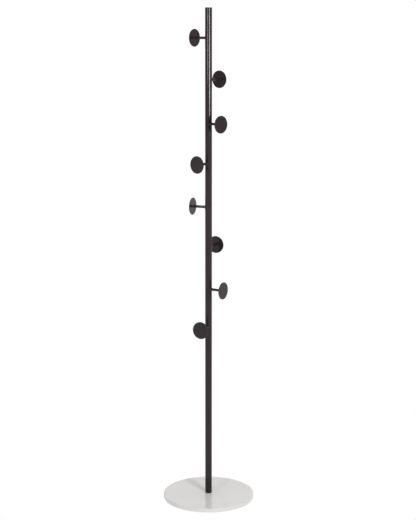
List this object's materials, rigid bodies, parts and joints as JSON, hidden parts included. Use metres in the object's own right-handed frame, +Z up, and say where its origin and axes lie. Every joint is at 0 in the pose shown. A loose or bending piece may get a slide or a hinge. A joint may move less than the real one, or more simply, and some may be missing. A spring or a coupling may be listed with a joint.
{
  "type": "standing coat rack",
  "caption": "Free-standing coat rack: a slim round black post on a round polished stone base, with pegs around its upper two thirds that each end in a flat round disc.",
  "frame": {"origin": "on the post's axis at floor level, under the middle of the base", "axes": "+Z up along the post; -Y is the front; +X is to the right when the rack is seen from the front"},
  "size_m": [0.335, 0.335, 1.8],
  "materials": {
    "black_coat": "semi-gloss black-brown powder coat",
    "marble": "polished warm white marble",
    "zinc_steel": "bright zinc plate",
    "black_zinc": "black zinc plate",
    "black_plastic": "fine matte black",
    "pad_rubber": "matte grey-black rubber"
  },
  "bodies": {
    "root": {"base_slab": "marble", "floor_pads": "pad_rubber", "base_plate": "zinc_steel", "base_lock_washer": "zinc_steel", "base_bolt": "zinc_steel", "foot_plug": "zinc_steel", "lower_tube": "black_coat", "middle_tube": "black_coat", "upper_tube": "black_coat", "top_cap": "black_plastic", "lower_joint_socket": "zinc_steel", "lower_joint_plug": "zinc_steel", "lower_joint_stud": "zinc_steel", "upper_joint_socket": "zinc_steel", "upper_joint_plug": "zinc_steel", "upper_joint_stud": "zinc_steel", "peg_rivet_nuts": "zinc_steel", "peg_saddles": "black_zinc", "peg_1_stem": "black_coat", "peg_2_stem": "black_coat", "peg_3_stem": "black_coat", "peg_4_stem": "black_coat", "peg_5_stem": "black_coat", "peg_6_stem": "black_coat", "peg_7_stem": "black_coat", "peg_8_stem": "black_coat", "peg_1_disc": "black_coat", "peg_2_disc": "black_coat", "peg_3_disc": "black_coat", "peg_4_disc": "black_coat", "peg_5_disc": "black_coat", "peg_6_disc": "black_coat", "peg_7_disc": "black_coat", "peg_8_disc": "black_coat"}
  },
  "joints": []
}
